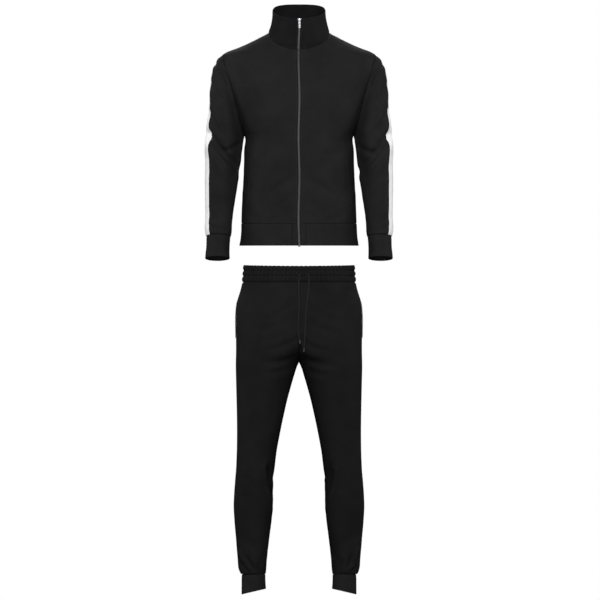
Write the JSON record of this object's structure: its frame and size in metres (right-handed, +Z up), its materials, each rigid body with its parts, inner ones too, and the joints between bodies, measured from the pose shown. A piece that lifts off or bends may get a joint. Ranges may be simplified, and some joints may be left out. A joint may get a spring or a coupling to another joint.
{
  "type": "tracksuit",
  "caption": "Zip jacket with stand collar, a pale stripe down each sleeve and ribbed cuffs, over trousers with a gathered drawcord waist and ribbed ankles.",
  "frame": {"origin": "between the high points of the shoulders, where the wearer's shoulders carry the jacket", "axes": "+Z up along the body, +X to the wearer's left, +Y to the wearer's back, so the zip faces -Y"},
  "size_m": [0.6032, 0.2671, 1.8882],
  "materials": {
    "jacket_knit": "smooth double knit, near black",
    "stripe_knit": "smooth double knit, off-white",
    "rib_knit": "doubled fine rib knit, near black",
    "trouser_knit": "smooth double knit, near black",
    "zip_tape": "woven polyester tape",
    "zip_coil": "moulded zip teeth, satin",
    "zip_metal": "plated zinc casting, satin",
    "drawcord": "round braided polyester cord",
    "cord_tip": "shrunk plastic end"
  },
  "bodies": {
    "suit": {"jacket_front_left": "jacket_knit", "hem_tab_left": "jacket_knit", "shoulder_stripe_left": "stripe_knit", "jacket_front_right": "jacket_knit", "hem_tab_right": "jacket_knit", "shoulder_stripe_right": "stripe_knit", "jacket_back": "jacket_knit", "hem_rib": "rib_knit", "collar": "jacket_knit", "sleeve_front_left": "jacket_knit", "sleeve_stripe_left": "stripe_knit", "sleeve_back_left": "jacket_knit", "cuff_left": "rib_knit", "sleeve_front_right": "jacket_knit", "sleeve_stripe_right": "stripe_knit", "sleeve_back_right": "jacket_knit", "cuff_right": "rib_knit", "pocket_welt_left": "jacket_knit", "pocket_welt_right": "jacket_knit", "zip_tape_left": "zip_tape", "zip_chain_left": "zip_coil", "zip_tape_right": "zip_tape", "zip_chain_right": "zip_coil", "zip_box": "zip_coil", "zip_slider": "zip_metal", "trouser_front_left": "trouser_knit", "trouser_back_left": "trouser_knit", "trouser_front_right": "trouser_knit", "trouser_back_right": "trouser_knit", "waistband": "trouser_knit", "pocket_edge_left": "trouser_knit", "ankle_rib_left": "rib_knit", "pocket_edge_right": "trouser_knit", "ankle_rib_right": "rib_knit", "drawcord_right": "drawcord", "cord_tip_right": "cord_tip", "drawcord_left": "drawcord", "cord_tip_left": "cord_tip"},
    "zip_pull": {"zip_pull_tab": "zip_metal"}
  },
  "joints": [
    {"name": "pull_tab_hinge", "type": "hinge", "parent": "suit", "child": "zip_pull", "pos_m": [0.00149, -0.08413, 0.049], "axis": [-1, 0, 0], "range_deg": [0, 160]}
  ]
}
